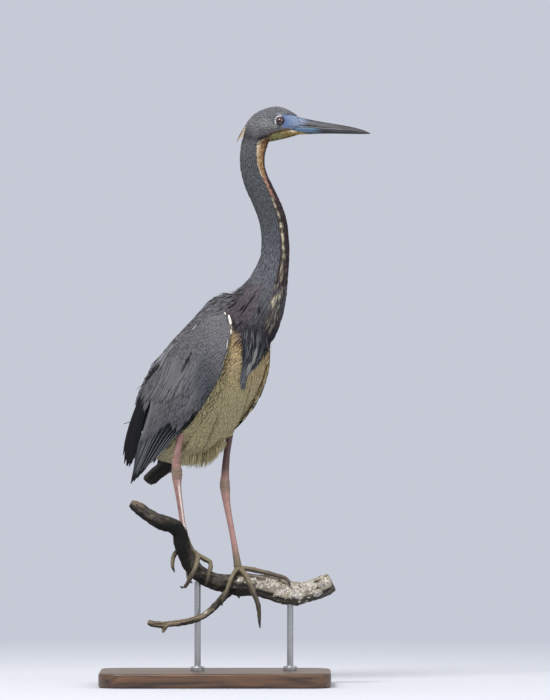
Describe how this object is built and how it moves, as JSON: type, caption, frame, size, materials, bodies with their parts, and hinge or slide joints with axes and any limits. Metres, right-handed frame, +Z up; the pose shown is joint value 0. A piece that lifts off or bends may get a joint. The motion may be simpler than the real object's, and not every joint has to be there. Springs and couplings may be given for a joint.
{
  "type": "tricolored heron",
  "caption": "Still, life-size model of a slim slate-blue wading heron with a pale belly and a long bill, gripping a cut length of branch that rods hold over a flat display base.",
  "frame": {"origin": "middle of the display base's underside", "axes": "+Z up; +X the way the bill points, seen nearly in profile; -Y the side that the breast is turned to"},
  "size_m": [0.3391, 0.19, 0.724],
  "materials": {
    "slate_coat": "satin slate blue-grey plumage, matt between the vanes",
    "dark_coat": "blackish slate flight and tail feathers with a faint sheen",
    "pale_coat": "matt buffy white belly plumage",
    "nape_plume": "matt cream hair-like plumes",
    "bill": "smooth horn, blue at the base and dark grey towards the tip",
    "eye": "glossy, dark maroon iris and black pupil",
    "leg_skin": "scaled skin, dull pink with olive joints",
    "foot_skin": "scaled skin, olive brown",
    "claw": "smooth dark horn",
    "bark": "rough dark bark with pale crusts of lichen and broken ends",
    "base_wood": "dark stained wood with a satin varnish",
    "steel": "brushed rods and collars"
  },
  "bodies": {
    "root": {"bill_lower": "bill", "bill_upper": "bill", "breast_plumes": "slate_coat", "claw_left_hind": "claw", "claw_left_inner": "claw", "claw_left_middle": "claw", "claw_left_outer": "claw", "claw_right_hind": "claw", "claw_right_inner": "claw", "claw_right_middle": "claw", "claw_right_outer": "claw", "eye_left": "eye", "eye_right": "eye", "foot_left": "foot_skin", "foot_right": "foot_skin", "head": "slate_coat", "nape_plumes": "nape_plume", "neck_lower": "slate_coat", "neck_middle": "slate_coat", "neck_upper": "slate_coat", "perch_branch": "bark", "perch_twig": "bark", "primaries_left": "dark_coat", "primaries_right": "dark_coat", "shank_left": "leg_skin", "shank_right": "leg_skin", "stand_base": "base_wood", "stand_rod_1": "steel", "stand_rod_2": "steel", "tail": "dark_coat", "tarsus_left": "leg_skin", "tarsus_right": "leg_skin", "tertials_left": "dark_coat", "tertials_right": "dark_coat", "thigh_left": "pale_coat", "thigh_right": "pale_coat", "trunk": "pale_coat", "wing_left": "slate_coat", "wing_right": "slate_coat"}
  },
  "joints": []
}
